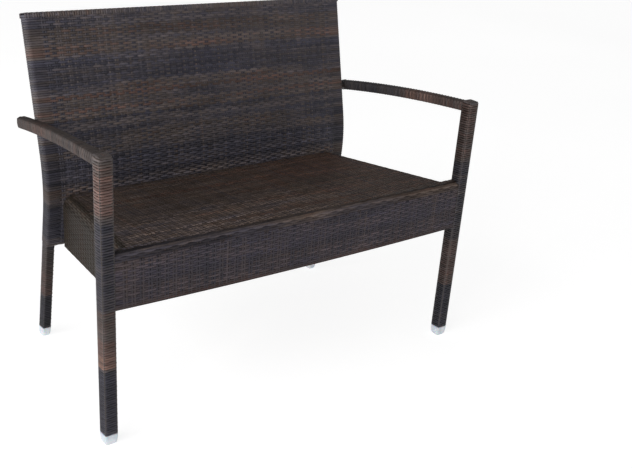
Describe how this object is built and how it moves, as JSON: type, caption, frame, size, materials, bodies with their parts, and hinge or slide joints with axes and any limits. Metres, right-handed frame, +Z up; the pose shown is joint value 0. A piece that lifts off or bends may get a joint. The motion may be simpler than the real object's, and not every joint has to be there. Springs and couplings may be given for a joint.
{
  "type": "garden bench",
  "caption": "Two-seat garden bench of dark mottled woven synthetic wicker over a tubular frame, with a curved-in back, slim falling arms and square legs on light feet.",
  "frame": {"origin": "on the ground under the middle of the bounding box", "axes": "+X along the bench towards its right end as seen from the front, +Y from the front to the back, +Z up"},
  "size_m": [1.024, 0.5474, 0.8297],
  "materials": {
    "back_wicker": "woven flat strand, mottled grey, blue-black and brown",
    "seat_wicker": "woven flat strand, mottled dark brown",
    "apron_wicker": "woven flat strand, mottled purple grey",
    "wrap_wicker": "flat strand wound round the tube, mottled brown and blue-grey",
    "coated_tube": "dark brown powder coat",
    "foot_plastic": "smooth light grey"
  },
  "bodies": {
    "root": {"back_weave": "back_wicker", "back_top_band": "back_wicker", "seat_weave": "seat_wicker", "front_apron_weave": "apron_wicker", "side_apron_weave_left": "apron_wicker", "side_apron_weave_right": "apron_wicker", "front_leg_wrap_left": "wrap_wicker", "front_leg_wrap_right": "wrap_wicker", "front_leg_cap_left": "wrap_wicker", "front_leg_cap_right": "wrap_wicker", "rear_leg_wrap_left": "wrap_wicker", "rear_leg_wrap_right": "wrap_wicker", "arm_wrap_left": "wrap_wicker", "arm_wrap_right": "wrap_wicker", "front_leg_tube_left": "coated_tube", "front_leg_tube_right": "coated_tube", "rear_upright_tube_left": "coated_tube", "rear_upright_tube_right": "coated_tube", "arm_tube_left": "coated_tube", "arm_tube_right": "coated_tube", "arm_spacer_left": "coated_tube", "arm_spacer_right": "coated_tube", "seat_rail_left": "coated_tube", "seat_rail_right": "coated_tube", "apron_rail_left": "coated_tube", "apron_rail_right": "coated_tube", "seat_rail_front": "coated_tube", "seat_rail_rear": "coated_tube", "apron_rail_front": "coated_tube", "seat_bearer_1": "coated_tube", "seat_bearer_2": "coated_tube", "seat_bearer_3": "coated_tube", "back_top_rail": "coated_tube", "back_mid_rail": "coated_tube", "back_bottom_rail": "coated_tube", "back_post_upper": "coated_tube", "back_post_lower": "coated_tube", "foot_front_left": "foot_plastic", "foot_front_right": "foot_plastic", "foot_rear_left": "foot_plastic", "foot_rear_right": "foot_plastic"}
  },
  "joints": []
}
